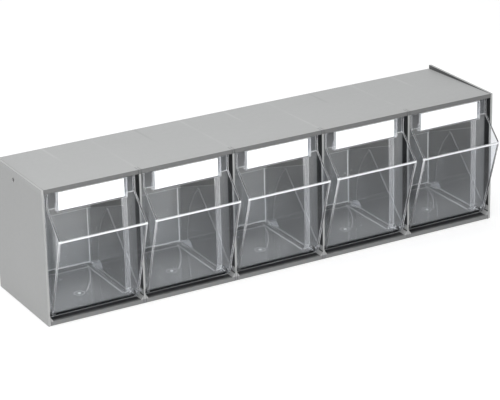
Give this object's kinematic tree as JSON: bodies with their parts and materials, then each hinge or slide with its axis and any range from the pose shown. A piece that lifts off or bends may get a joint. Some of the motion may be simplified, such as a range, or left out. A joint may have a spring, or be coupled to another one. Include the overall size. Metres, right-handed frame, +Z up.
{
  "type": "tilt-out bin organizer",
  "caption": "Low grey cabinet with a row of clear tip-out bins, each hinged low at the front, with a leaning front, an open mouth and a labelled face.",
  "frame": {"origin": "middle of the whole object's footprint, at the height of the surface it stands on", "axes": "+X along the row of bins, +Y from the open front to the back, +Z up"},
  "size_m": [0.6, 0.158, 0.164],
  "materials": {
    "housing_plastic": "fine-grained grey moulded polystyrene",
    "clear_plastic": "crystal-clear moulded polystyrene",
    "holder_plastic": "clear moulded plastic",
    "paper": "plain white card, blank"
  },
  "bodies": {
    "housing": {"housing": "housing_plastic"},
    "bin_1": {"tilt_bin_1": "clear_plastic", "label_holder_1": "holder_plastic", "paper_label_1": "paper"},
    "bin_2": {"tilt_bin_2": "clear_plastic", "label_holder_2": "holder_plastic", "paper_label_2": "paper"},
    "bin_3": {"tilt_bin_3": "clear_plastic", "label_holder_3": "holder_plastic", "paper_label_3": "paper"},
    "bin_4": {"tilt_bin_4": "clear_plastic", "label_holder_4": "holder_plastic", "paper_label_4": "paper"},
    "bin_5": {"tilt_bin_5": "clear_plastic", "label_holder_5": "holder_plastic", "paper_label_5": "paper"}
  },
  "joints": [
    {"name": "bin_1_tilt", "type": "hinge", "parent": "housing", "child": "bin_1", "pos_m": [-0.2388, -0.046, 0.015], "axis": [1, 0, 0], "range_deg": [0, 45]},
    {"name": "bin_2_tilt", "type": "hinge", "parent": "housing", "child": "bin_2", "pos_m": [-0.1194, -0.046, 0.015], "axis": [1, 0, 0], "range_deg": [0, 45]},
    {"name": "bin_3_tilt", "type": "hinge", "parent": "housing", "child": "bin_3", "pos_m": [0, -0.046, 0.015], "axis": [1, 0, 0], "range_deg": [0, 45]},
    {"name": "bin_4_tilt", "type": "hinge", "parent": "housing", "child": "bin_4", "pos_m": [0.1194, -0.046, 0.015], "axis": [1, 0, 0], "range_deg": [0, 45]},
    {"name": "bin_5_tilt", "type": "hinge", "parent": "housing", "child": "bin_5", "pos_m": [0.2388, -0.046, 0.015], "axis": [1, 0, 0], "range_deg": [0, 45]}
  ]
}
